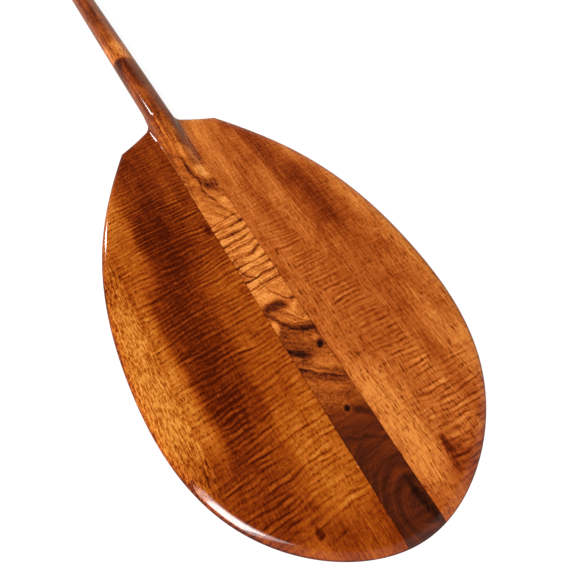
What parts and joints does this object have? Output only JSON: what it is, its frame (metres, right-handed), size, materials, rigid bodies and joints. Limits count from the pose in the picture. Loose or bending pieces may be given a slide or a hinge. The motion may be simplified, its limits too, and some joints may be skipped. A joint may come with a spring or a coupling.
{
  "type": "outrigger paddle",
  "caption": "Single-blade wooden paddle: round shaft running on as a strip down a wide egg-shaped blade, bookmatched wing boards glued each side, T-grip on top.",
  "frame": {"origin": "on the plane that the flat back rests on, halfway between the blade's tip and the top of the grip, in the middle of the width", "axes": "+X across the blade towards the right wing, +Y along the shaft from the blade's tip to the grip, +Z out of the face that carries the shaft's ridge"},
  "size_m": [0.28, 1.27, 0.028],
  "materials": {
    "left_wing_wood": "glossy clear lacquer over figured red-brown hardwood",
    "right_wing_wood": "glossy clear lacquer over figured orange-brown hardwood",
    "spine_wood": "glossy clear lacquer over streaked, knotty dark hardwood",
    "grip_wood": "glossy clear lacquer over red-brown hardwood",
    "dowel_wood": "plain turned hardwood"
  },
  "bodies": {
    "root": {"spine_shaft": "spine_wood", "left_wing": "left_wing_wood", "right_wing": "right_wing_wood", "t_grip": "grip_wood", "grip_pin": "dowel_wood", "left_dowel_1": "dowel_wood", "left_dowel_2": "dowel_wood", "left_dowel_3": "dowel_wood", "left_dowel_4": "dowel_wood", "right_dowel_1": "dowel_wood", "right_dowel_2": "dowel_wood", "right_dowel_3": "dowel_wood", "right_dowel_4": "dowel_wood"}
  },
  "joints": []
}
